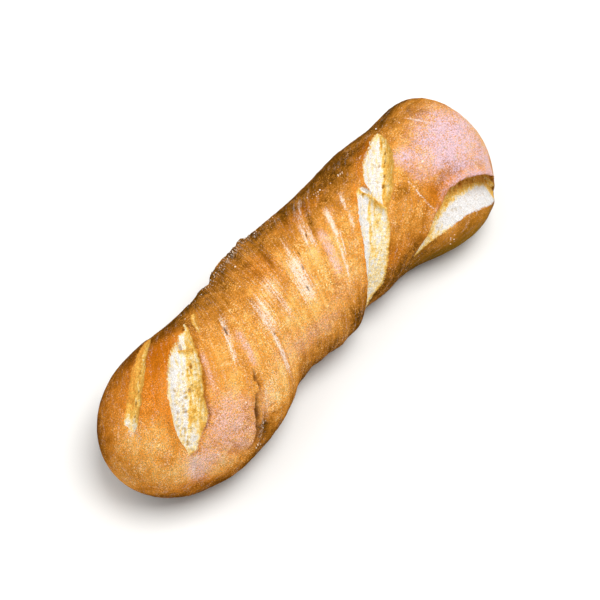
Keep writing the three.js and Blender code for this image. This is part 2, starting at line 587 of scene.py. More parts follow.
@dataclass(frozen=True)
class SkinLine:
    """A short line on the loaf, straight on the unrolled skin."""

    start: Pair
    end: Pair

    def measure(self, at: Places) -> tuple[Array, Array, float]:
        """Measures places against the line.

        Args:
            at: The places.

        Returns:
            The distance along the line and the distance to its right at each place, and the line's length.
        """
        step = (self.end[0] - self.start[0], math.radians(at.form.waist) * (self.end[1] - self.start[1]))
        length = math.hypot(*step)
        there = at.ways_from(self.start)
        along = (there[0] * step[0] + there[1] * step[1]) / length
        across = (there[0] * step[1] - there[1] * step[0]) / length
        return along, across, length

    def distance(self, at: Places) -> Array:
        """Gives the distance of each place from the line."""
        along, across, length = self.measure(at)
        return np.hypot(across, np.maximum(np.maximum(-along, along - length), 0.0))

    @staticmethod
    def within(along: Array, length: float, fade: float) -> Array:
        """Gives 1 along the line and 0 past its ends, eased over a fade."""
        return ease(-fade, fade, along) * ease(length + fade, length - fade, along)


@dataclass(frozen=True)
class Streak(SkinLine):
    """A stretch mark in the skin of the dough."""

    width: float = 1.6
    strength: float = 0.9
    tint: Tint = Tint.CREAM
    fade: float = 6.0

    def shown(self, at: Places, wander: Array) -> Array:
        """Gives how strongly the streak shows at each place, with edges that wander by some millimetres."""
        along, across, length = self.measure(at)
        return self.strength * self.within(along, length, self.fade) * bell(across + wander, self.width)


@dataclass(frozen=True)
class Fold(SkinLine):
    """An edge of crust that laps over the crust on its right, with a slit under it darkened by painted
    shade.
    """

    lift: float = 1.6
    lift_reach: float = 12.0
    slit: float = 2.4
    slit_width: float = 1.1
    shade_darkness: float = 0.9
    fade: float = 6.0
    overlap: float = 0.8
    overlap_reach: float = 4.0

    def skin(self, at: Places, ragged: Array) -> tuple[Array, Array, Array]:
        """Works out what the fold makes of the skin.

        Args:
            at: The places to work out.
            ragged: How far the fold's edge wanders at each place, in millimetres.

        Returns:
            The relief, the painted shade of the slit, and how far the skin laps over, in degrees.
        """
        along, across, length = self.measure(at)
        across = across + ragged
        within = self.within(along, length, self.fade)
        lapping = ease(self.overlap, -self.overlap, across) * bell(np.minimum(across, 0.0), self.lift_reach)
        slit = bell(across - self.overlap, self.slit_width)
        lap = np.degrees(self.overlap / at.form.waist) * within * lapping * bell(across, self.overlap_reach)
        return within * (self.lift * lapping - self.slit * slit), self.shade_darkness * within * slit, lap


@dataclass(frozen=True)
class Bridge(SkinLine):
    """A strand of crumb that still spans a tear."""

    width: float = 1.4
    level: float = 0.9
    crumb: float = 0.8
    fade: float = 2.0

    def span(self, at: Places, ragged: Array) -> Array:
        """Gives 1 on the strand and 0 away from it, with its edges wandering by some millimetres."""
        along, across, length = self.measure(at)
        return self.within(along, length, self.fade) * bell(across + ragged, self.width)


@dataclass(frozen=True)
class Slit:
    """A small opening drawn out along the twist, or a round pit where its run equals its width, darkened by
    painted shade.
    """

    station: float
    angle: float
    run: float = 2.0
    width: float = 0.42
    depth: float = 1.0
    shade_darkness: float = 0.85
    edge: Slope = Slope(1.25, 0.55)

    def shown(self, at: Places) -> Array:
        """Gives how strongly the slit shows.

        Args:
            at: The places to work out.

        Returns:
            1 in the slit and 0 away from it.
        """
        slope = -at.form.waist * at.form.twist.rate(np.float64(self.station))
        ahead = np.array([1.0, slope]) / math.hypot(1.0, slope)
        there = at.ways_from((self.station, self.angle))
        along = there[0] * ahead[0] + there[1] * ahead[1]
        across = there[0] * ahead[1] - there[1] * ahead[0]
        return self.edge.at(np.hypot(along / self.run, across / self.width))


@dataclass(frozen=True)
class Grain:
    """Noise in a finish, with features of a size in millimetres, eased from one range into another."""

    size: float
    detail: float = 2.0
    roughness: float = 0.55
    low: float = 0.0
    high: float = 1.0
    to_low: float = 0.0
    to_high: float = 1.0
    with_dough: bool = False


class GrainGroup:
    """The grain that all finishes share: one group of shader nodes, placed in each with its own values."""

    name: str = "fine_grain"
    noise_inputs: tuple[str, ...] = ("Scale", "Detail", "Roughness")
    range_inputs: tuple[str, ...] = ("From Min", "From Max", "To Min", "To Max")

    @classmethod
    def tree(cls) -> bpy.types.NodeTree:
        """Gives the group, which the first call builds."""
        return bpy.data.node_groups.get(cls.name) or cls.build()

    @classmethod
    def build(cls) -> bpy.types.NodeTree:
        """Builds the group.

        Returns:
            The group, which gives the plain noise and the noise eased into the new range.
        """
        group = bpy.data.node_groups.new(cls.name, "ShaderNodeTree")
        group.interface.new_socket("Vector", in_out="INPUT", socket_type="NodeSocketVector")
        for name in cls.noise_inputs + cls.range_inputs:
            group.interface.new_socket(name, in_out="INPUT", socket_type="NodeSocketFloat")
        for name in ("Noise", "Value"):
            group.interface.new_socket(name, in_out="OUTPUT", socket_type="NodeSocketFloat")
        given, texture, ranger, result = (
            group.nodes.new(kind)
            for kind in ("NodeGroupInput", "ShaderNodeTexNoise", "ShaderNodeMapRange", "NodeGroupOutput")
        )
        ranger.interpolation_type = "SMOOTHSTEP"
        for name in ("Vector",) + cls.noise_inputs:
            group.links.new(given.outputs[name], texture.inputs[name])
        for name in cls.range_inputs:
            group.links.new(given.outputs[name], ranger.inputs[name])
        group.links.new(texture.outputs["Fac"], ranger.inputs["Value"])
        group.links.new(texture.outputs["Fac"], result.inputs["Noise"])
        group.links.new(ranger.outputs["Result"], result.inputs["Value"])
        return group


class ShaderTree:
    """A material's nodes, added by short calls that return the socket to use next."""

    def __init__(self, name: str) -> None:
        """Starts a material with no nodes but its own coordinates.

        Args:
            name: The material's name.
        """
        self.material = bpy.data.materials.new(name)
        self.material.use_nodes = True
        self.tree = self.material.node_tree
        self.tree.nodes.clear()
        self.object_place = self.node("ShaderNodeTexCoord").outputs["Object"]

    def node(self, kind: str) -> bpy.types.Node:
        """Adds a node of a kind."""
        return self.tree.nodes.new(kind)

    def feed(self, socket: Socket, value: object) -> None:
        """Links a socket to another one, or sets it to a plain value.

        Args:
            socket: The socket to feed.
            value: Another socket or a value.
        """
        if isinstance(value, Socket):
            self.tree.links.new(value, socket)
        else:
            socket.default_value = value

    def mark(self, mark: Mark) -> Socket:
        """Reads one of the mesh's own measures.

        Args:
            mark: The measure.

        Returns:
            Its vector or its value.
        """
        reader = self.node("ShaderNodeAttribute")
        reader.attribute_name = mark.value
        return reader.outputs["Vector" if mark is Mark.DOUGH else "Fac"]

    def grain(self, grain: Grain, eased: bool = True) -> Socket:
        """Places the shared grain with its own values.

        Args:
            grain: The values.
            eased: Whether the noise is eased into its new range.

        Returns:
            The eased value, or the plain noise.
        """
        group = self.node("ShaderNodeGroup")
        group.node_tree = GrainGroup.tree()
        self.feed(group.inputs["Vector"], self.mark(Mark.DOUGH) if grain.with_dough else self.object_place)
        values = (1.0 / (grain.size * MM), grain.detail, grain.roughness)
        values += (grain.low, grain.high, grain.to_low, grain.to_high)
        for name, value in zip(GrainGroup.noise_inputs + GrainGroup.range_inputs, values):
            group.inputs[name].default_value = value
        return group.outputs["Value" if eased else "Noise"]

    def math(self, operation: str, *values: object) -> Socket:
        """Works out one sum.

        Args:
            operation: The kind of sum.
            values: The two or three values that go into it.

        Returns:
            The sum's value.
        """
        sum_node = self.node("ShaderNodeMath")
        sum_node.operation = operation
        for socket, value in zip(sum_node.inputs, values):
            self.feed(socket, value)
        return sum_node.outputs[0]

    def total(self, *values: object) -> Socket:
        """Adds several values up.

        Args:
            values: Sockets or plain values.

        Returns:
            Their sum.
        """
        result = values[0]
        for value in values[1:]:
            result = self.math("ADD", result, value)
        return result

    def fit(self, value: Socket, slope: Slope, start: float = 0.0) -> Socket:
        """Eases a value into a new range, held at its ends.

        Args:
            value: The value.
            slope: Where the change comes in, and how much it is.
            start: The new value before the change.

        Returns:
            The new value.
        """
        ranger = self.node("ShaderNodeMapRange")
        ranger.interpolation_type = "SMOOTHSTEP"
        numbers = (value, slope.low, slope.high, start, start + slope.amount)
        for name, number in zip(("Value",) + GrainGroup.range_inputs, numbers):
            self.feed(ranger.inputs[name], number)
        return ranger.outputs["Result"]

    def ramp(self, value: Socket, stops: tuple[tuple[float, Colour], ...]) -> Socket:
        """Turns a value into a colour.

        Args:
            value: The value.
            stops: The values with a colour of their own, in order.

        Returns:
            The colour.
        """
        ramp = self.node("ShaderNodeValToRGB")
        elements = ramp.color_ramp.elements
        while len(elements) < len(stops):
            elements.new(0.5)
        for element, (position, colour) in zip(elements, stops):
            element.position = position
            element.color = colour
        self.feed(ramp.inputs["Fac"], value)
        return ramp.outputs["Color"]

    def mix(self, share: Socket, below: object, above: object) -> Socket:
        """Lays one colour over another.

        Args:
            share: How much of the upper colour shows.
            below: The lower colour.
            above: The upper colour.

        Returns:
            The mixed colour.
        """
        mixer = self.node("ShaderNodeMix")
        mixer.data_type = "RGBA"
        for index, value in ((MIX_SHARE, share), (MIX_BELOW, below), (MIX_ABOVE, above)):
            self.feed(mixer.inputs[index], value)
        return mixer.outputs[MIX_RESULT]

    def shade(self, colour: Socket, share: Socket) -> Socket:
        """Makes a colour brighter or darker.

        Args:
            colour: The colour.
            share: How bright it becomes, with 1 for no change.

        Returns:
            The new colour.
        """
        scaler = self.node("ShaderNodeVectorMath")
        scaler.operation = "SCALE"
        self.feed(scaler.inputs[0], colour)
        self.feed(scaler.inputs["Scale"], share)
        return scaler.outputs[0]

    def surface(
        self, colour: Socket, roughness: object, height: Socket, bump: Pair, specular: float
    ) -> None:
        """Ends the tree in one surface shader.

        Args:
            colour: The base colour.
            roughness: The roughness.
            height: The height of the fine relief.
            bump: The relief's depth in millimetres and its strength.
            specular: How strongly the surface mirrors light.
        """
        relief = self.node("ShaderNodeBump")
        relief.inputs["Distance"].default_value = bump[0] * MM
        relief.inputs["Strength"].default_value = bump[1]
        self.feed(relief.inputs["Height"], height)
        shader = self.node("ShaderNodeBsdfPrincipled")
        self.feed(shader.inputs["Base Color"], colour)
        self.feed(shader.inputs["Roughness"], roughness)
        self.feed(shader.inputs["Normal"], relief.outputs["Normal"])
        shader.inputs["Specular IOR Level"].default_value = specular
        self.feed(self.node("ShaderNodeOutputMaterial").inputs["Surface"], shader.outputs["BSDF"])


@dataclass(frozen=True)
class LoafFinish:
    """The loaf's finish: golden to dark crust, cream stretch marks, flour, and pale crumb in the tears, with
    painted shade and painted light in places.
    """

    straw: Colour = srgb("ECC276")
    golden: Colour = srgb("DEA350")
    amber: Colour = srgb("CC822F")
    brown: Colour = srgb("915A15")
    dark: Colour = srgb("4A2D05")
    # Orange beside the lips, partly browner crust and partly painted shade.
    rim: Colour = srgb("D2700E")
    # Painted shade on the underside bulge near the floor.
    underside_shade: Colour = srgb("9A761C")
    cream: Colour = srgb("EDE0D0")
    pink: Colour = srgb("DDB4A8")
    # Flour under painted cool light.
    lilac: Colour = srgb("D4B5C0")
    speck: Colour = srgb("FBE2AC")
    # Painted shade in slits and pits, on the crust and in the crumb.
    slit: Colour = srgb("5E390E")
    pit: Colour = srgb("90601A")
    crumb_white: Colour = srgb("E2E1E0")
    crumb_cream: Colour = srgb("EDDAAA")
    crumb_yellow: Colour = srgb("E9BC5C")
    crumb_gold: Colour = srgb("D08F3A")
    # Painted shade in the crumb's pores.
    pore_shade: Colour = srgb("B89434")
    crust_stops: tuple[float, ...] = (0.0, 0.13, 0.3, 0.52, 0.8, 1.0)
    crumb_stops: tuple[float, ...] = (0.0, 0.3, 0.6, 1.0)
    specular: float = 0.0
    crust_roughness: float = 0.52
    crumb_roughness: float = 0.9
    bump: Pair = (0.5, 0.5)
    edge: Slope = Slope(-0.3, 0.3, -1.0)
    edge_wander: Grain = Grain(1.3, 2.0, 0.55, 0.2, 0.8, -0.35, 0.35)
    crust_relief: tuple[Grain, Grain] = (Grain(1.1, 3.0), Grain(3.5))
    crumb_relief: Grain = Grain(1.5, 4.0, 0.7)
    crumb_height: float = 2.0
    browning: tuple[Grain, ...] = (
        Grain(14.0, 3.0, 0.55, 0.28, 0.72, -0.09, 0.09),
        Grain(26.0, 3.0, 0.5, 0.3, 0.7, -0.08, 0.08, True),
        Grain(6.0, 3.0, 0.6, 0.28, 0.72, -0.05, 0.05, True),
        Grain(5.0, 3.0, 0.6, 0.3, 0.7, -0.08, 0.05),
        Grain(0.55, 2.0, 0.6, 0.33, 0.67, -0.16, 0.16),
    )
    specks: Grain = Grain(0.9, 3.0, 0.85, 0.5, 0.66, 0.08, -0.55)
    speck_drift: Grain = Grain(9.0, 3.0, 0.55, 0.35, 0.65, 0.4, 1.0)
    speckle: Grain = Grain(0.55, 3.0, 0.85, 0.36, 0.64, -0.68, 0.76)
    speckle_on_flour: float = 0.7
    calming: float = 0.8
    rim_share: float = 0.55
    underside_shade_share: float = 0.5
    drawn_out: Grain = Grain(3.5, 3.0, 0.6, 0.28, 0.72, -0.34, 0.26, True)
    broken: Grain = Grain(0.65, 2.0, 0.55, 0.32, 0.68, -0.45, 0.4)
    bared: Slope = Slope(0.25, 0.98, 0.9)
    drifted: Grain = Grain(7.0, 2.0, 0.55, 0.3, 0.7, 0.7, 1.2)
    patchy: Grain = Grain(0.85, 3.0, 0.75, 0.35, 0.65, -0.8, 0.65)
    dusted: Slope = Slope(0.1, 1.15, 0.95)
    crumb_tone: Grain = Grain(1.8, 4.0, 0.7, 0.28, 0.72, -0.22, 0.22)
    strands: Grain = Grain(2.4, 3.0, 0.6, 0.3, 0.7, -0.24, 0.24, True)
    grit: Grain = Grain(0.55, 2.0, 0.7, 0.33, 0.67, 0.7, 1.28)
    fine_pore_shade: Grain = Grain(1.2, 3.0, 0.65, 0.56, 0.7, 0.0, 0.5)
    pore_share: float = 0.8

    def material(self) -> bpy.types.Material:
        """Makes the loaf's material, which reads the measures on the loaf's own mesh.

        Returns:
            The material.
        """
        tree = ShaderTree("baked_crust_and_shade")
        in_tear = tree.fit(tree.total(tree.mark(Mark.EDGE), tree.grain(self.edge_wander)), self.edge, 1.0)
        colour = tree.mix(in_tear, self.crust(tree), self.crumb(tree))
        # Painted shade in slits, pits, under folds and under a rolled lip.
        colour = tree.mix(tree.mark(Mark.SLIT_SHADE), colour, tree.mix(in_tear, self.slit, self.pit))
        rougher = Slope(0.0, 1.0, self.crumb_roughness - self.crust_roughness)
        roughness = tree.fit(in_tear, rougher, self.crust_roughness)
        crust_height = tree.total(*(tree.grain(relief, False) for relief in self.crust_relief))
        crumb_height = tree.math("MULTIPLY", tree.grain(self.crumb_relief, False), self.crumb_height)
        height = tree.math("MULTIPLY_ADD", in_tear, crumb_height, crust_height)
        tree.surface(colour, roughness, height, self.bump, self.specular)
        return tree.material

    def crust(self, tree: ShaderTree) -> Socket:
        """Mixes the crust's colour from its browning with painted shade and light, stretch marks, flour
        tinted with painted cool light, and fine speckle.

        Args:
            tree: The material's nodes.

        Returns:
            The colour.
        """
        specks = tree.math("MULTIPLY", tree.grain(self.specks), tree.grain(self.speck_drift))
        uneven = tree.total(*(tree.grain(grain) for grain in self.browning), specks)
        roughly = tree.math("MULTIPLY_ADD", tree.mark(Mark.SMOOTH), -self.calming, 1.0)
        # The browning read from the mesh carries painted shade and light too.
        toast_and_shading = tree.math("MULTIPLY_ADD", uneven, roughly, tree.mark(Mark.TOAST_AND_SHADING))
        baked_and_shade = (self.speck, self.straw, self.golden, self.amber, self.brown, self.dark)
        crust = tree.ramp(toast_and_shading, tuple(zip(self.crust_stops, baked_and_shade)))
        # Orange beside the lips, partly browner crust and partly painted shade, then painted olive shade on
        # the underside.
        crust = tree.mix(tree.math("MULTIPLY", tree.mark(Mark.RIM_AND_SHADE), self.rim_share), crust, self.rim)
        crust = tree.mix(tree.math("MULTIPLY", tree.mark(Mark.RIM_AND_SHADE), -self.underside_shade_share), crust, self.underside_shade)
        speckle = tree.math("MULTIPLY_ADD", tree.grain(self.speckle), roughly, 1.0)
        streaks = tree.total(tree.mark(Mark.STREAK), tree.grain(self.drawn_out), tree.grain(self.broken))
        crust = tree.mix(tree.fit(streaks, self.bared), tree.shade(crust, speckle), self.cream)
        patchy = tree.total(tree.grain(self.drifted), tree.grain(self.patchy))
        dusted = tree.fit(tree.math("MULTIPLY", tree.mark(Mark.FLOUR), patchy), self.dusted)
        on_flour = tree.math("MULTIPLY_ADD", speckle, self.speckle_on_flour, 1.0 - self.speckle_on_flour)
        # The flour turns lilac towards the right end: painted cool light.
        dust = tree.mix(tree.mark(Mark.COOL_LIGHT), self.pink, self.lilac)
        return tree.mix(dusted, crust, tree.shade(dust, on_flour))

    def crumb(self, tree: ShaderTree) -> Socket:
        """Mixes the crumb's colour, from white through yellow to gold, with painted shade in its pores.

        Args:
            tree: The material's nodes.

        Returns:
            The colour.
        """
        tone = tree.total(tree.mark(Mark.CRUMB), tree.grain(self.crumb_tone), tree.grain(self.strands))
        shades = (self.crumb_white, self.crumb_cream, self.crumb_yellow, self.crumb_gold)
        crumb = tree.ramp(tone, tuple(zip(self.crumb_stops, shades)))
        # Painted shade in the pores, large and fine.
        large_pore_shade = tree.math("MULTIPLY", tree.mark(Mark.PORE_SHADE), self.pore_share)
        pores = tree.math("MAXIMUM", tree.grain(self.fine_pore_shade), large_pore_shade)
        return tree.mix(pores, tree.shade(crumb, tree.grain(self.grit)), self.pore_shade)


@dataclass(frozen=True)
class PaleFinish:
    """A pale, dull finish of two near colours in soft patches, with a fine grain."""

    name: str
    pale: Colour
    warm: Colour
    patches: Grain
    relief: Grain
    bump: Pair
    roughness: float
    specular: float

    def material(self) -> bpy.types.Material:
        """Makes the material.

        Returns:
            The material.
        """
        tree = ShaderTree(self.name)
        colour = tree.mix(tree.grain(self.patches), self.pale, self.warm)
        tree.surface(colour, self.roughness, tree.grain(self.relief, False), self.bump, self.specular)
        return tree.material


@dataclass
class Loaf:
    """The loaf itself: one closed mesh of crust and torn crumb, with the places of its points in at."""

    form: LoafForm = field(default_factory=LoafForm)
    finish: LoafFinish = field(default_factory=LoafFinish)
    at: Places = field(init=False)
    columns: int = 200
    rings: int = 204
    finer_within: Pair = (3.0, 0.8)
    thin_streak: float = 1.0
    top_crowding: float = 0.3
    ring_end_radius: float = 45.0
    ring_slant: float = 38.0
    slant_fade: float = 3.0
    dough_stretch: float = 0.35
    body: Slope = Slope(0.0, 0.75)
    edge: Slope = Slope(0.3, -0.3)
    edge_limit: float = 20.0
    ragged: tuple[Unevenness, ...] = (Unevenness(1.1, 9.0), Unevenness(0.2, 2.4, 2, 7.0))
    uneven_skin: tuple[Unevenness, ...] = (Unevenness(0.3, 7.0, 3, 3.0), Unevenness(0.14, 2.0, 2, 5.0))
    uneven_crumb: tuple[Unevenness, ...] = (Unevenness(0.9, 4.2, 3, 11.0), Unevenness(0.3, 1.3, 2, 29.0))
    crumb_from: Slope = Slope(0.0, 2.0)
    pore_spacing: float = 2.8
    pore_edge: Slope = Slope(0.45, 0.2)
    pore_clusters: Unevenness = Unevenness(1.0, 6.0, 2, 61.0)
    cluster_edge: Slope = Slope(-0.3, 0.3)
    ridge_count: int = 5
    ridge_height: float = 0.5
    ridge_phase: float = 40.0
    ridge_middle: float = -8.0
    ridge_reach: float = 62.0
    uneven_ridges: Unevenness = Unevenness(0.22, 18.0, 3, 23.0)
    streak_wander: Unevenness = Unevenness(1.5, 14.0, 3, 31.0)
    streak_depth: float = 0.4
    slit_wander: Unevenness = Unevenness(0.5, 1.6, 2, 37.0)
    wrinkling: Unevenness = Unevenness(1.0, 8.0, 2, 53.0)
    wrinkle_width: float = 0.12
    flaking: Unevenness = Unevenness(1.0, 3.4, 2, 41.0)
    flake_edge: Slope = Slope(0.12, 0.4, 2.0)
    flake_zone: Spot = Spot(-20.0, 33.0, 34.0, 13.0, 1.0)
    base_browning: float = 0.4
    tip_browning: float = 0.12
    # Browning of the flanks, partly real and partly painted shade; the darkening near the floor is painted
    # shade only.
    far_browning_and_shade: Slope = Slope(-10.0, 70.0, 0.56)
    far_paling: Slope = Slope(70.0, 110.0, 0.35)
    near_browning_and_shade: Slope = Slope(56.0, 104.0, 0.42)
    low_painted_shade: Slope = Slope(34.0, 12.0, 0.2)
    baked_streaks: float = 0.25
    # Painted shade along the wrinkles.
    wrinkle_shade: float = 0.16
    rim_smoothness: float = 0.35
    most_flour: float = 1.4
    # Where the painted cool light on the flour comes in.
    cool_light_end: Slope = Slope(20.0, 90.0)
    swells: tuple[Spot, ...] = spots(
        (-90, 185, 40, 40, 1.5), (-34, 180, 15, 36, -3.5), (5, 185, 30, 36, 4.5), (25, 180, 10, 36, -4.0),
        (70, 178, 16, 36, -4.0), (112, 185, 24, 40, 5.0), (-60, 30, 36, 36, -4.5), (-15, 28, 25, 36, 4.5),
        (122, 28, 28, 40, -7.0), (132, 188, 18, 28, 2.4), (149, 78, 20, 44, 2.6), (151, 164, 12, 32, -2.6),
        (-130, 176, 13, 30, -2.0),
    )
    creases: tuple[Crease, ...] = (
        Crease((-8, 225), (-100, 545)),
        Crease((70, 178), (-60, 592)),
        Crease((40, 150), (5, 225)),
    )
    tears: tuple[Tear, ...] = (
        # The narrow tan one beside the round tip.
        Tear(
            start=(-92, 30), end=(-146, 81), before=(4.3, 0.95), after=(5.2, 0.95),
            taper=0.2, depth=1.0, valley=0.2, turn=0.0, lip_before=0.5, lip_after=0.9,
            crumb_before=0.9, crumb_after=0.7, end_crumb=(0.25, 0.16), seam=0.0,
            coarse=0.8, ragged=0.8, rim=0.2,
        ),
        # The wide one on the left bulb.
        Tear(
            start=(-75.5, 56), end=(-134, 135.5), bow=-12.0, before=(11.9, 0.84), after=(9.7, 0.56),
            taper=1.5, depth=6.0, valley=0.1, turn=0.12, lip_before=2.2, lip_after=0.9,
            crumb_before=0.06, crumb_after=0.5, end_crumb=(0.14, 0.3), pinch=(0.22, 0.45), wavy=0.15,
            coarse=1.0, ragged=1.1, rim=1.0, rim_reach=10.0, dark_edge=0.45,
        ),
        # The two that meet over the right half, the farther one first.
        Tear(
            start=(108, 59), end=(62.5, 114), before=(11.3, 0.78), after=(8.6, 0.3),
            taper=1.3, depth=6.0, valley=0.3, turn=0.15, lip_before=2.0, lip_after=1.2,
            crumb_before=0.06, crumb_after=0.6, pinch=(0.96, 0.6), wavy=0.25, coarse=0.9, rim=0.7,
        ),
        Tear(
            start=(67, 95), end=(19, 188), before=(11.4, 0.42), after=(10.4, 0.3),
            taper=0.7, depth=4.5, valley=0.0, turn=-0.2, lip_before=2.0, lip_after=0.8,
            crumb_before=-0.1, crumb_after=0.26, seam=0.35, coarse=0.6, rim=0.7, rim_reach=2.6,
        ),
        # The deep one under the rolled lip of the blunt end; its gold crumb under the lip and at its far end
        # is painted shade.
        Tear(
            start=(66, 175.5), end=(147, 181.5), bow=-25.0, before=(13.4, 0.81), after=(8.6, 0.87),
            taper=0.75, depth=12.0, valley=-0.7, turn=0.06, lip_before=1.0, lip_after=0.6, overhang=2.0,
            crumb_before=0.75, crumb_after=-0.7, start_crumb=(0.42, 0.5), end_crumb=(0.7, 0.14),
            seam=0.0, softness=0.3, wavy=0.12, coarse=0.5, ragged=0.7, rim=0.4, roll=2.2,
        ),
        # The short one past the wide one's upper end.
        Tear(
            start=(-65, 51), end=(-76, 71), before=(1.4, 0.5), after=(1.4, 0.5),
            taper=0.8, depth=0.8, valley=0.0, turn=0.0, lip_before=0.2, lip_after=0.2,
            crumb_before=0.4, crumb_after=0.6, rim=0.0,
        ),
    )
    folds: tuple[Fold, ...] = (
        Fold((-74, 124), (-79, 139), lift=1.0, slit=1.6, slit_width=1.0, shade_darkness=0.6, fade=3.0),
        Fold((-83, 138), (-101, 168), slit=3.0, slit_width=1.8, shade_darkness=0.95, fade=4.0),
        Fold((-134, 130), (-141, 182), lift=-0.6, lift_reach=9.0, slit=0.5, slit_width=1.4, shade_darkness=0.06),
    )
    bridges: tuple[Bridge, ...] = (
        Bridge((63.5, 84), (65.0, 119)),
        Bridge((-94, 72), (-86, 83), 1.0, -0.6, 0.9),
    )
    streaks: tuple[Streak, ...] = (
        Streak((5, 74), (-2, 92), 1.6, 0.75), Streak((0, 88), (-13, 125), 6.2, 0.8),
        Streak((24, 71), (14, 94), 3.4, 0.6), Streak((40, 44), (25, 70), 3.0, 0.4),
        Streak((25, 89), (13, 126), 3.0, 0.95, Tint.FLOUR), Streak((40, 78), (28, 106), 1.7, 1.0),
        Streak((29, 102), (17, 134), 1.1, 0.95), Streak((33, 100), (24, 122), 0.9, 0.65),
        Streak((53, 78), (43, 105), 1.3, 0.8), Streak((-36, 90), (-46, 119), 5.0, 0.72),
        Streak((-46, 117), (-55, 152), 1.3, 1.2), Streak((-22, 84), (-27, 106), 5.4, 0.56),
        Streak((-26, 104), (-31, 126), 3.6, 0.55), Streak((-62, 96), (-70, 123), 2.6, 0.9, Tint.FLOUR),
        Streak((-60, 80), (-78, 112), 1.6, 0.75), Streak((-87, 88), (-99, 111), 2.4, 0.65, Tint.FLOUR),
        Streak((88, 106), (89.5, 138), 0.6, 0.72, fade=4.0),
        Streak((127, 68), (133, 90), 0.8, 0.85, fade=4.0),
        Streak((-149, 80), (-143, 97), 2.2, 0.45), Streak((-131, 138), (-138, 158), 1.4, 0.8),
        Streak((-42, 36), (4, 41), 4.0, 0.25), Streak((-70, 140), (-78, 158), 3.5, 0.45),
        Streak((37, 56), (20, 90), 2.2, 0.9, Tint.BAKED),
        Streak((-10, 70), (-20, 105), 1.8, 0.6, Tint.BAKED),
        # The darker streak beside the lower fold is painted shade.
        Streak((-74, 140), (-92, 170), 1.5, 0.5), Streak((-72, 130), (-86, 164), 3.0, 0.6, Tint.BAKED),
    )
    slits: tuple[Slit, ...] = (
        Slit(5, 90), Slit(-1, 101), Slit(-9, 116), Slit(18, 83), Slit(-66, 90, 3.0, 0.6),
        Slit(-46, 121, 0.8, 0.45), Slit(-80, 61, 1.3, 0.8, 1.2, 0.6), Slit(-91, 71, 1.8, 0.9, 1.4, 0.6),
        Slit(-96, 87, 2.0, 0.9, 1.4, 0.55), Slit(-107, 99, 1.6, 0.9, 1.4, 0.55),
        Slit(-114, 92, 1.2, 0.8, 1.0, 0.35), Slit(-122, 105, 1.3, 0.8, 1.2, 0.45),
        Slit(-118, 109, 1.0, 0.8, 1.2, 0.5), Slit(-133, 73, 1.4, 0.8, 1.0, 0.8),
        Slit(-127, 69, 0.9, 0.7, 0.8, 0.6), Slit(-139, 79, 1.0, 0.7, 0.8, 0.7),
        Slit(-117, 58, 0.9, 0.6, 0.8, 0.5), Slit(63, 91, 1.2, 0.6, 1.0, 0.5),
        Slit(93, 81, 1.1, 0.7, 0.9, 0.75), Slit(85, 89, 1.4, 0.8, 0.9, 0.8),
        Slit(79, 95, 1.2, 0.8, 0.9, 0.75), Slit(75, 84, 1.0, 0.6, 0.8, 0.3),
        Slit(98, 76, 1.0, 0.7, 0.9, 0.7), Slit(89, 79, 0.9, 0.6, 0.8, 0.6),
        Slit(52, 117, 1.8, 0.6, 0.8, 0.35), Slit(38, 140, 1.4, 0.6, 0.8, 0.35),
        Slit(33, 153, 1.2, 0.6, 0.8, 0.3), Slit(44, 127, 0.9, 0.5, 0.8, 0.3),
        Slit(57, 118, 1.2, 0.5, 0.8, 0.3), Slit(-76, 128, 1.6, 1.0, 1.2, 0.7),
        Slit(121, 146, 1.2, 0.8, 0.8, 0.45), Slit(128, 151, 1.0, 0.8, 0.8, 0.4),
        Slit(133, 158, 1.2, 0.9, 0.8, 0.45), Slit(114, 146, 1.0, 0.7, 0.8, 0.4),
    )
    toast_and_shading: tuple[Spot, ...] = spots(
        (-105, 48, 26, 18, 0.16), (-104, 70, 12, 12, 0.14), (-52, 66, 10, 14, 0.14), (35, 58, 45, 20, 0.12),
        (88, 62, 14, 10, 0.22), (150, 64, 12, 20, 0.1), (60, 145, 25, 22, 0.18), (-56, 98, 13, 14, 0.1),
        (104, 126, 18, 12, 0.08), (-150, 92, 14, 30, -0.16), (-59, 80, 12, 16, 0.1), (118, 96, 18, 24, 0.1),
        (52, 75, 18, 10, 0.08), (110, 190, 36, 20, 0.04), (0, 170, 40, 18, 0.12), (7, 150, 10, 18, 0.18),
        # The next three lighten the left bulb's lower flank, turned from the lamps: painted light.
        (-132, 152, 14, 16, -0.2), (-126, 166, 18, 12, -0.2), (-106, 172, 14, 9, -0.14),
        (-147, 132, 9, 13, 0.1), (-84, 112, 20, 22, 0.04), (-72, 158, 9, 14, -0.24),
        # The first on the next line darkens the crust beside the lower fold: painted shade.
        (-90, 167, 8, 11, 0.32), (50, 98, 9, 18, -0.1),
        (18, 112, 26, 22, -0.06), (88, 118, 16, 18, 0.2), (60, 154, 14, 16, 0.2), (42, 168, 14, 14, 0.16),
        (-21, 81, 6, 8, 0.2), (131, 68, 12, 14, -0.07), (124, 66, 4, 6, 0.12), (134, 69, 3, 6, 0.2),
        (138, 77, 3, 4, 0.24), (26, 130, 8, 16, -0.12), (-31, 104, 13, 14, 0.07), (86, 112, 12, 14, 0.05),
        (-140, 44, 22, 22, -0.14),
    )
    flour: tuple[Spot, ...] = spots(
        (137, 110, 24, 31, 1.1), (118, 108, 16, 20, 0.6), (99, 93, 7, 8, 0.9), (96, 110, 7, 9, 0.35),
        (145, 148, 9, 15, 0.7), (-105, 136, 17, 20, 0.9), (-104, 160, 12, 14, 0.3), (-136, 154, 7, 18, 0.7),
        (-78, 152, 9, 13, 0.3), (-127, 150, 9, 16, 0.5), (-11, 150, 14, 12, 0.3), (-29, 150, 12, 12, 0.3),
        (-48, 140, 20, 18, 0.36), (12, 138, 18, 16, 0.3),
    )
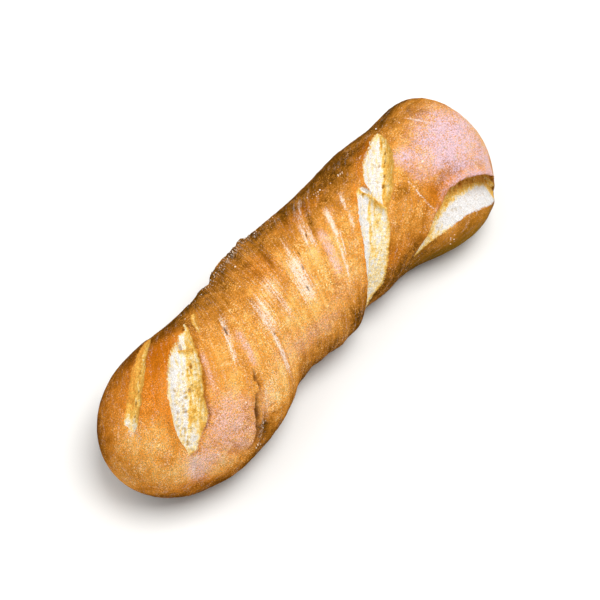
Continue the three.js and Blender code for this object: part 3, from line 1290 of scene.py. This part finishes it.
    blush_and_shade: tuple[Spot, ...] = spots(
        (-104, 66, 16, 12, 0.8), (-127, 84, 14, 11, 0.4), (-125, 100, 40, 60, 0.34), (-140, 50, 24, 28, 0.4),
        (-140, 165, 26, 24, 0.4), (52, 150, 16, 9, 0.6), (-18, 74, 10, 12, 0.5), (30, 62, 16, 8, 0.5),
        # The last, below 0, is painted shade that turns the underside bulge olive.
        (96, 128, 14, 10, 0.5), (112, 193, 40, 18, -1.0),
    )
    smooth_skin: tuple[Spot, ...] = spots(
        (112, 192, 40, 18, 1.0), (-112, 78, 12, 9, 0.2), (-92, 100, 20, 14, 0.4), (-150, 108, 20, 40, -0.4),
    )
    wrinkles: tuple[Spot, ...] = spots((-114, 154, 20, 26, 1.3), (-80, 160, 14, 22, 1.1))

    def build(self) -> bpy.types.Object:
        """Models the loaf, dresses it and puts it on the frame.

        Returns:
            The loaf's object.
        """
        shape = self.skin()
        self.at = self.places(np.array([vert.co[:] for vert in shape.verts]))
        points, marks = self.crust(self.at)
        low, high = (np.array(corner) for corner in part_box("loaf"))
        middle = (points[:, 1].min() + points[:, 1].max()) / 2.0
        points = (points - [0.0, middle, 0.0]) * MM + [0.0, (low[1] + high[1]) / 2.0, low[2]]
        for vert, point in zip(shape.verts, points.tolist()):
            vert.co = point
        bmesh.ops.triangulate(shape, faces=shape.faces[:], quad_method="SHORT_EDGE")
        bmesh.ops.recalc_face_normals(shape, faces=shape.faces[:])
        for face in shape.faces:
            face.smooth = True
        piece = make_piece("loaf_crust", shape, self.finish.material())
        for mark, values in marks.items():
            self.write(piece.data, mark, values)
        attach(piece, "root")
        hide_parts("loaf")
        log.info("loaf: %d triangles", len(piece.data.polygons))
        return piece

    def skin(self) -> bmesh.types.BMesh:
        """Makes the sphere that becomes the loaf's skin.

        Returns:
            The sphere, with finer faces in and near tears, folds, slits and thin streaks.
        """
        shape = bmesh.new()
        bmesh.ops.create_uvsphere(shape, u_segments=self.columns, v_segments=self.rings, radius=1.0)
        for reach in self.finer_within:
            centres = np.array([face.calc_center_median()[:] for face in shape.faces])
            near = self.to_detail(self.places(centres)) < reach
            edges = {edge for face, finer in zip(shape.faces, near) if finer for edge in face.edges}
            bmesh.ops.subdivide_edges(shape, edges=list(edges), cuts=1, use_grid_fill=True)
        return shape

    def to_detail(self, at: Places) -> Array:
        """Gives the distance to the nearest tear, fold, slit or thin streak.

        Args:
            at: The places to measure from.

        Returns:
            The distance from each place, in millimetres.
        """
        gaps = [self.torn(at, np.zeros_like(at.station)).outside]
        gaps += [fold.distance(at) - fold.slit_width for fold in self.folds]
        gaps += [line.distance(at) - line.width for line in self.streaks if line.width < self.thin_streak]
        gaps += [np.hypot(*at.ways_from((slit.station, slit.angle))) - slit.run for slit in self.slits]
        return np.minimum.reduce(gaps)

    @staticmethod
    def write(mesh: bpy.types.Mesh, mark: Mark, values: Array) -> None:
        """Stores one measure at each point of a mesh.

        Args:
            mesh: The mesh.
            mark: The measure.
            values: A value or a vector for each point.
        """
        kind, slot = ("FLOAT", "value") if values.ndim == 1 else ("FLOAT_VECTOR", "vector")
        attribute = mesh.attributes.new(mark.value, kind, "POINT")
        attribute.data.foreach_set(slot, values.astype(np.float32).ravel())

    def places(self, sphere: Array) -> Places:
        """Lays a sphere's rings and columns out along the loaf, the rings slanted with the twist.

        Args:
            sphere: Points on or near a sphere.

        Returns:
            The place of each point.
        """
        half_length = self.form.length / 2.0
        along = np.arccos(np.clip(sphere[:, 2] / np.linalg.norm(sphere, axis=1), -1.0, 1.0)) / math.pi
        around = (np.arctan2(sphere[:, 1], sphere[:, 0]) / math.tau) % 1.0
        angle = 360.0 * (around + self.top_crowding * np.sin(math.tau * around) / math.tau) - TOP
        end_arc = math.pi / 2.0 * self.ring_end_radius
        body = self.form.length - 2.0 * self.ring_end_radius
        from_tip = np.minimum(along, 1.0 - along) * (2.0 * end_arc + body)
        rounded = self.ring_end_radius * (1.0 - np.cos(np.minimum(from_tip, end_arc) / self.ring_end_radius))
        inset = np.where(from_tip < end_arc, rounded, self.ring_end_radius + from_tip - end_arc)
        ring = np.where(along < 0.5, inset - half_length, half_length - inset)
        slanted = 1.0 - (np.abs(ring) / half_length) ** self.slant_fade
        return Places(self.form, ring + self.ring_slant * np.cos(np.radians(angle)) * slanted, angle)

    def crust(self, at: Places) -> tuple[Array, dict[Mark, Array]]:
        """Works out the crust's points and the measures for its finish.

        Args:
            at: The places to work out.

        Returns:
            The points in millimetres, and each measure by its mark.
        """
        smooth = at.points()
        turned = np.radians(at.angle + self.form.twist.at(at.station))
        girth = self.form.waist * self.form.end_share(at.station)
        drawn = at.station * self.dough_stretch
        dough = np.stack([np.cos(turned) * girth, np.sin(turned) * girth, drawn], axis=1)
        ragged = sum(part.over(smooth) for part in self.ragged)
        torn = self.torn(at, ragged)
        in_tear = self.edge.at(torn.outside)
        folded, fold_slit_shade, fold_lap = self.folded(at, ragged)
        shades = self.stretch_marks(at, dough)
        # The slits' depth, and their painted shade.
        slit, dark = self.slit_open(at, smooth)
        wrinkles = patches(self.wrinkles, at) * bell(self.wrinkling.over(smooth), self.wrinkle_width)
        flakes = self.flake_zone.over(at) * self.flake_edge.at(self.flaking.over(smooth))
        skin = sum(part.over(smooth) for part in self.uneven_skin) + flakes - wrinkles
        skin = skin - self.streak_depth * shades[Tint.CREAM]
        pores = self.pores(smooth, in_tear) * np.minimum(1.0, torn.porous)
        crumb = torn.coarse * self.crumb_from.at(-torn.relief)
        crumb = crumb * sum(part.over(smooth) for part in self.uneven_crumb) - pores
        relief = patches(self.swells, at) + self.ridges(at.station, turned, dough)
        relief = relief + sum(crease.height(at) for crease in self.creases)
        relief = relief + torn.relief + folded - slit + skin * (1.0 - in_tear) + crumb * in_tear
        points = at.points(relief, torn.lap + fold_lap)
        toast_and_shading = self.browning(at, points[:, 2]) + torn.baked_and_shade
        # Darker streaks, and painted shade along the wrinkles.
        toast_and_shading = toast_and_shading + self.baked_streaks * shades[Tint.BAKED] + self.wrinkle_shade * wrinkles
        dusted = torn.flour + patches(self.flour, at) * self.round_body(at.station) + shades[Tint.FLOUR]
        marks = {
            Mark.EDGE: np.clip(torn.outside, -self.edge_limit, self.edge_limit),
            Mark.CRUMB: torn.crumb,
            # Rims partly painted shade; below 0, painted shade on the underside bulge.
            Mark.RIM_AND_SHADE: np.clip(torn.rim + patches(self.blush_and_shade, at), -1.0, 1.0),
            # Painted shade in the pores.
            Mark.PORE_SHADE: pores,
            Mark.SMOOTH: np.maximum(self.rim_smoothness * torn.rim, patches(self.smooth_skin, at)),
            # Browning, with painted shade and light.
            Mark.TOAST_AND_SHADING: toast_and_shading,
            Mark.FLOUR: np.clip(dusted, 0.0, self.most_flour),
            # Painted cool light on the flour.
            Mark.COOL_LIGHT: self.cool_light_end.at(at.station),
            Mark.STREAK: shades[Tint.CREAM],
            # Painted shade in slits, under folds and under a rolled lip.
            Mark.SLIT_SHADE: np.maximum.reduce([dark, fold_slit_shade, torn.dark]),
            Mark.DOUGH: dough * MM,
        }
        return points, marks

    def round_body(self, station: Array) -> Array:
        """Gives 1 along the body and 0 at the tips, where all angles meet."""
        return self.body.at(self.form.end_share(station))

    def pores(self, points: Array, in_tear: Array) -> Array:
        """Gives the round pores of the crumb in the tears, in loose clusters.

        Args:
            points: The points of the smooth loaf.
            in_tear: How far each point is within a tear.

        Returns:
            1 in each hollow and 0 outside.
        """
        found = np.zeros(len(points))
        bare = np.flatnonzero(in_tear > 0.0)
        cells = (points[bare] / self.pore_spacing).tolist()
        to_middle = np.array([noise.voronoi(cell)[0][0] for cell in cells])
        clusters = self.cluster_edge.at(self.pore_clusters.over(points[bare]))
        found[bare] = self.pore_edge.at(to_middle) * clusters
        return found

    def ridges(self, station: Array, turned: Array, dough: Array) -> Array:
        """Gives the ridges that the turning drew up in the skin of the middle.

        Args:
            station: The places' stations.
            turned: Their angles in the dough, in radians.
            dough: Their points in the dough before it was turned.

        Returns:
            The relief at each place, in millimetres.
        """
        zone = bell(station - self.ridge_middle, self.ridge_reach)
        even = np.cos(self.ridge_count * turned + math.radians(self.ridge_phase))
        return zone * (self.ridge_height * even + self.uneven_ridges.over(dough))

    def stretch_marks(self, at: Places, dough: Array) -> dict[Tint, Array]:
        """Gives how strongly each kind of stretch mark shows.

        Args:
            at: The places to work out.
            dough: Their points in the dough before it was turned.

        Returns:
            For each tint, 0 where there is no mark, up to about 1.
        """
        shades = {tint: np.zeros_like(at.station) for tint in Tint}
        wander = self.streak_wander.over(dough)
        for streak in self.streaks:
            shades[streak.tint] = np.maximum(shades[streak.tint], streak.shown(at, wander))
        return shades

    def slit_open(self, at: Places, smooth: Array) -> tuple[Array, Array]:
        """Works out the small slits and pits.

        Args:
            at: The places to work out.
            smooth: The points of the smooth loaf.

        Returns:
            Their depth in millimetres and their painted shade at each place.
        """
        moved = Places(at.form, at.station + self.slit_wander.over(smooth), at.angle)
        shown = [(slit, slit.shown(moved)) for slit in self.slits]
        depth = sum(slit.depth * here for slit, here in shown)
        return depth, np.maximum.reduce([slit.shade_darkness * here for slit, here in shown])

    def torn(self, at: Places, ragged: Array) -> TornSkin:
        """Works out the tears, and the strands that still span them.

        Args:
            at: The places to work out.
            ragged: How far the tears' edges wander at each place, in millimetres.

        Returns:
            What the tears make of the skin.
        """
        torn = TornSkin.joined([tear.skin(at, ragged) for tear in self.tears])
        for bridge in self.bridges:
            span = bridge.span(at, ragged)
            torn.relief = torn.relief + np.maximum(bridge.level - torn.relief, 0.0) * span
            torn.crumb = torn.crumb + (bridge.crumb - torn.crumb) * span
            torn.porous = torn.porous * (1.0 - span)
        return torn

    def folded(self, at: Places, ragged: Array) -> tuple[Array, Array, Array]:
        """Works out the folds.

        Args:
            at: The places to work out.
            ragged: How far the folds' edges wander at each place, in millimetres.

        Returns:
            The relief, the painted shade of the slits under the laps, and how far the laps reach, in
            degrees.
        """
        reliefs, darks, laps = zip(*(fold.skin(at, ragged) for fold in self.folds))
        return sum(reliefs), np.maximum.reduce(darks), sum(laps)

    def browning(self, at: Places, height: Array) -> Array:
        """Gives how brown the crust is, with painted shade on its flanks and near the floor, and spots of
        painted light and shade.

        Args:
            at: The places to work out.
            height: Their heights above the oven floor.

        Returns:
            0 for straw to 1 for dark brown at each place.
        """
        from_top = half_turn(at.angle - TOP)
        # The flanks darken partly with browning and partly with painted shade.
        far_side = self.far_browning_and_shade.at(-from_top) * (1.0 - self.far_paling.at(-from_top))
        round_it = far_side + self.near_browning_and_shade.at(from_top) + patches(self.toast_and_shading, at)
        body = self.round_body(at.station)
        # Darker near the floor: painted shade.
        everywhere = self.base_browning + self.low_painted_shade.at(height)
        return everywhere + round_it * body + self.tip_browning * (1.0 - body)


@dataclass
class FlourFlecks:
    """Loose flecks of flour and crust that lie on the loaf, in clusters whose amount is their number."""

    finish: PaleFinish = PaleFinish(
        "loose_flour", srgb("FFF6E6"), srgb("EBC9A0"), Grain(2.5, 2.0, 0.55, 0.4, 0.65), Grain(0.5),
        bump=(0.2, 0.5), roughness=0.95, specular=0.15,
    )
    seed: int = 7
    sizes: Pair = (0.25, 0.75)
    shrinking: Pair = (0.5, 1.0)
    stretching: Pair = (0.6, 1.5)
    flatness: float = 0.6
    lift: float = 0.3
    tightness: float = 1.5
    clusters: tuple[Spot, ...] = spots(
        (-20, 34, 28, 8, 80), (49, 58, 4, 4, 16), (84, 66, 2, 3, 5), (67, 63, 3, 3, 8), (92, 175, 2, 3, 6),
        (-96, 176, 3, 4, 8), (130, 105, 24, 30, 30), (-110, 150, 18, 24, 20), (0, 100, 110, 50, 25),
        (0, 20, 110, 30, 25),
    )

    def build(self, loaf: Loaf, crust: bpy.types.Object) -> bpy.types.Object:
        """Scatters the flecks over the crust.

        Args:
            loaf: The loaf that they lie on.
            crust: The loaf's object.

        Returns:
            The flecks' object.
        """
        draw = np.random.default_rng(self.seed)
        shape = bmesh.new()
        for cluster in self.clusters:
            for _ in range(int(cluster.amount)):
                station = draw.normal(cluster.station, cluster.length / self.tightness)
                angle = draw.normal(cluster.angle, cluster.girth / self.tightness)
                size = draw.uniform(*self.sizes) * draw.uniform(*self.shrinking)
                stretch = draw.uniform(*self.stretching, 3) * [1.0, 1.0, self.flatness]
                turn = Euler(draw.uniform(0.0, math.tau, 3)).to_matrix().to_4x4()
                under = crust.data.vertices[int(np.argmin(np.hypot(*loaf.at.ways_from((station, angle)))))]
                scale = Matrix.Diagonal((*(stretch * size * MM), 1.0))
                spot = Matrix.Translation(under.co + under.normal * size * MM * self.lift)
                bmesh.ops.create_icosphere(shape, subdivisions=1, radius=1.0, matrix=spot @ turn @ scale)
        piece = make_piece("flour_flecks", shape, self.finish.material())
        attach(piece, "root")
        log.info("flour flecks: %d triangles", len(piece.data.polygons))
        return piece


@dataclass(frozen=True)
class SoftLight:
    """One square studio lamp, placed by its direction from the loaf, in degrees, metres and watts."""

    name: str
    azimuth: float
    elevation: float
    distance: float
    size: float
    power: float


def direction(azimuth: float, elevation: float) -> Vector:
    """Gives the direction from the loaf to a place seen at an azimuth and an elevation, in degrees."""
    turn, rise = math.radians(azimuth), math.radians(elevation)
    return Vector((math.sin(turn) * math.cos(rise), -math.cos(turn) * math.cos(rise), math.sin(rise)))


@dataclass
class Studio:
    """The pale floor, the soft lamps and the camera at the photograph's viewing angle.

    Distances are in metres, and the lens and the sensor are in millimetres.
    """

    floor_size: float = 6.0
    floor_finish: PaleFinish = PaleFinish(
        "pale_floor", srgb("F6F5F2"), srgb("F6F5F2"), Grain(20.0), Grain(20.0),
        bump=(0.5, 0.05), roughness=0.8, specular=0.2,
    )
    sky_colour: Colour = (1.0, 1.0, 1.0, 1.0)
    sky_strength: float = 0.46
    azimuth: float = -49.925
    elevation: float = 60.0
    distance: float = 0.8925
    lens: float = 85.0
    sensor: float = 36.0
    look_height: float = 0.036
    aim_right: float = -0.0024
    aim_up: float = -0.0049
    lights: tuple[SoftLight, ...] = (
        SoftLight("key", 50.0, 74.0, 1.6, 1.0, 21.5),
        SoftLight("fill", -140.0, 50.0, 1.8, 1.4, 7.0),
    )

    def build(self) -> None:
        """Sets up the floor, the lights, the sky and the camera."""
        shape = bmesh.new()
        bmesh.ops.create_grid(shape, x_segments=1, y_segments=1, size=self.floor_size / 2.0)
        floor = make_piece("floor", shape, self.floor_finish.material())
        for light in self.lights:
            self.lamp(light)
        world = bpy.data.worlds.new("studio")
        world.use_nodes = True
        background = world.node_tree.nodes["Background"]
        background.inputs["Color"].default_value = self.sky_colour
        background.inputs["Strength"].default_value = self.sky_strength
        bpy.context.scene.world = world
        bpy.context.scene.view_settings.view_transform = "Standard"
        self.camera()
        log.info("studio: floor, %d lamps and camera", len(self.lights))

    def lamp(self, light: SoftLight) -> None:
        """Hangs one soft lamp that faces the loaf.

        Args:
            light: The lamp's sizes and place.
        """
        data = bpy.data.lights.new(light.name, "AREA")
        data.size = light.size
        data.energy = light.power
        lamp = bpy.data.objects.new(light.name, data)
        towards = direction(light.azimuth, light.elevation)
        lamp.location = towards * light.distance
        lamp.rotation_euler = towards.to_track_quat("Z", "Y").to_euler()
        bpy.context.collection.objects.link(lamp)

    def camera(self) -> None:
        """Stands the camera where the photograph was taken from."""
        data = bpy.data.cameras.new("camera")
        data.lens = self.lens
        data.sensor_width = self.sensor
        camera = bpy.data.objects.new("camera", data)
        back = direction(self.azimuth, self.elevation)
        turn = math.radians(self.azimuth)
        right = Vector((math.cos(turn), math.sin(turn), 0.0))
        target = Vector((0.0, 0.0, self.look_height)) + right * self.aim_right
        target = target + back.cross(right) * self.aim_up
        camera.location = target + back * self.distance
        camera.rotation_euler = back.to_track_quat("Z", "Y").to_euler()
        bpy.context.collection.objects.link(camera)
        bpy.context.scene.camera = camera


def main() -> None:
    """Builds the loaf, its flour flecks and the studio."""
    logging.basicConfig(level=logging.INFO, format="%(name)s: %(message)s")
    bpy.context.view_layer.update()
    loaf = Loaf()
    crust = loaf.build()
    FlourFlecks().build(loaf, crust)
    Studio().build()


if __name__ == "__main__":
    main()
